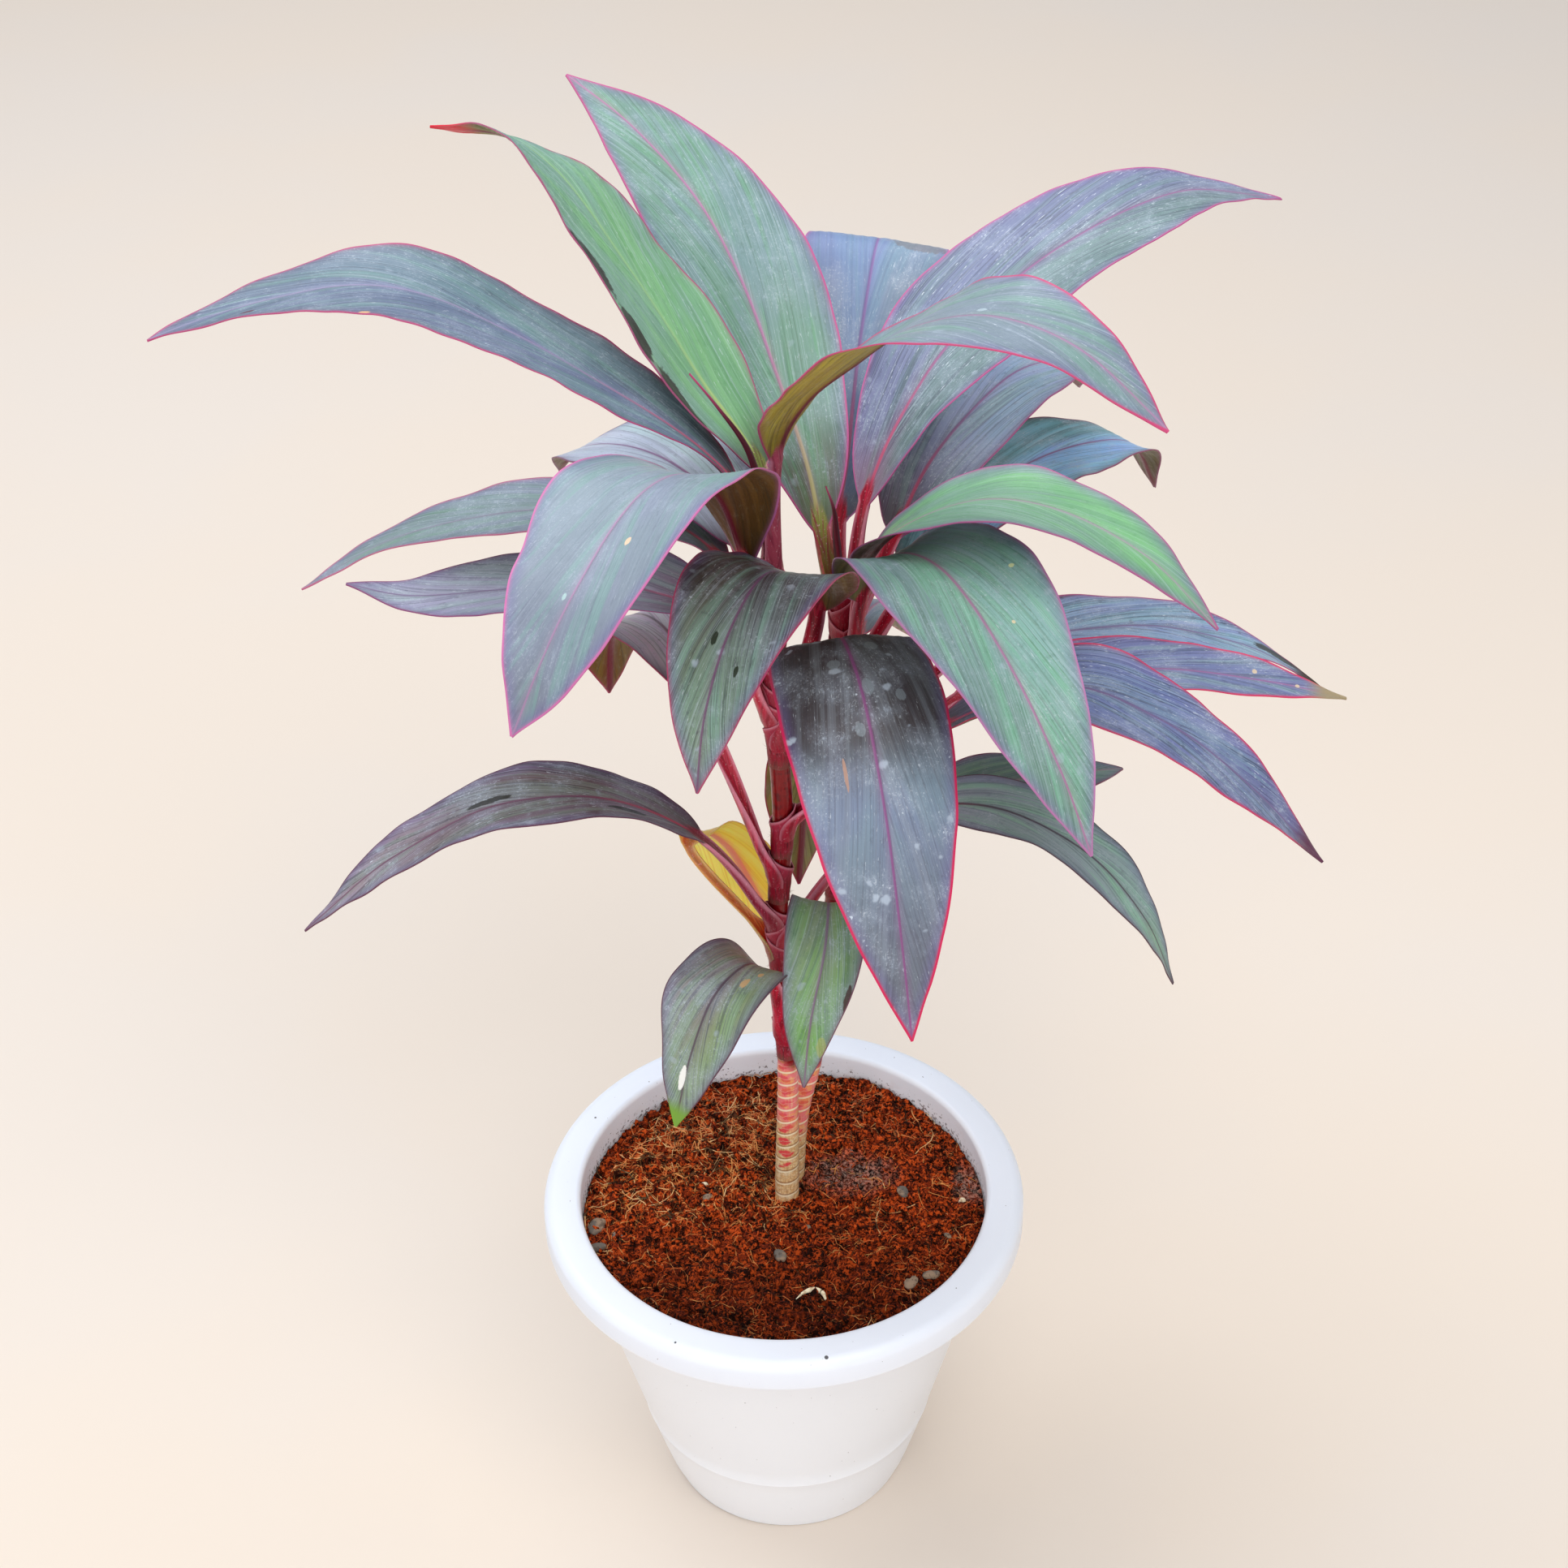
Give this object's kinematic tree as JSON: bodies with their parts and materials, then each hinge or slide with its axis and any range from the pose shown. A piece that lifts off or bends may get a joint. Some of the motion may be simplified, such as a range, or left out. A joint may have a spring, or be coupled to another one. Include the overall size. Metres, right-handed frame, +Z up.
{
  "type": "potted ti plant",
  "caption": "Ti plant with arching purple-green leaves edged in crimson on ringed canes, standing in the soil of a round white plastic pot.",
  "frame": {"origin": "middle of the pot's flat underside, on the surface that the pot stands on", "axes": "+Z up along the pot's axis, -Y the side that the picture sees, +X to the viewer's right"},
  "size_m": [0.4471, 0.3279, 0.6237],
  "materials": {
    "white_plastic": "moulded, slightly glossy, with specks of soil",
    "coir_soil": "loose coir fibre and crumbs, matt",
    "cane_skin": "smooth bark with ringed leaf scars, tan below and crimson above",
    "purple_leaf": "satin leaf, blue-grey to purple with crimson margins",
    "green_leaf": "satin leaf, green and grey streaks with crimson margins",
    "dying_leaf": "dry, yellow to orange",
    "young_leaf": "glossy, dark red"
  },
  "bodies": {
    "root": {"pot": "white_plastic", "soil": "coir_soil", "front_cane": "cane_skin", "rear_cane": "cane_skin", "front_spear": "young_leaf", "rear_spear": "young_leaf", "front_leaf_01": "purple_leaf", "front_leaf_02": "dying_leaf", "front_leaf_03": "purple_leaf", "front_leaf_04": "purple_leaf", "front_leaf_05": "purple_leaf", "front_leaf_06": "purple_leaf", "front_leaf_07": "purple_leaf", "front_leaf_08": "purple_leaf", "front_leaf_09": "green_leaf", "front_leaf_10": "purple_leaf", "front_leaf_11": "purple_leaf", "front_leaf_12": "purple_leaf", "front_leaf_13": "green_leaf", "front_leaf_14": "green_leaf", "rear_leaf_01": "green_leaf", "rear_leaf_02": "green_leaf", "rear_leaf_03": "green_leaf", "rear_leaf_04": "purple_leaf", "rear_leaf_05": "purple_leaf", "rear_leaf_06": "purple_leaf", "rear_leaf_07": "purple_leaf", "rear_leaf_08": "green_leaf", "rear_leaf_09": "purple_leaf", "rear_leaf_10": "green_leaf", "rear_leaf_11": "purple_leaf", "rear_leaf_12": "purple_leaf", "rear_leaf_13": "purple_leaf", "rear_leaf_14": "green_leaf"}
  },
  "joints": []
}
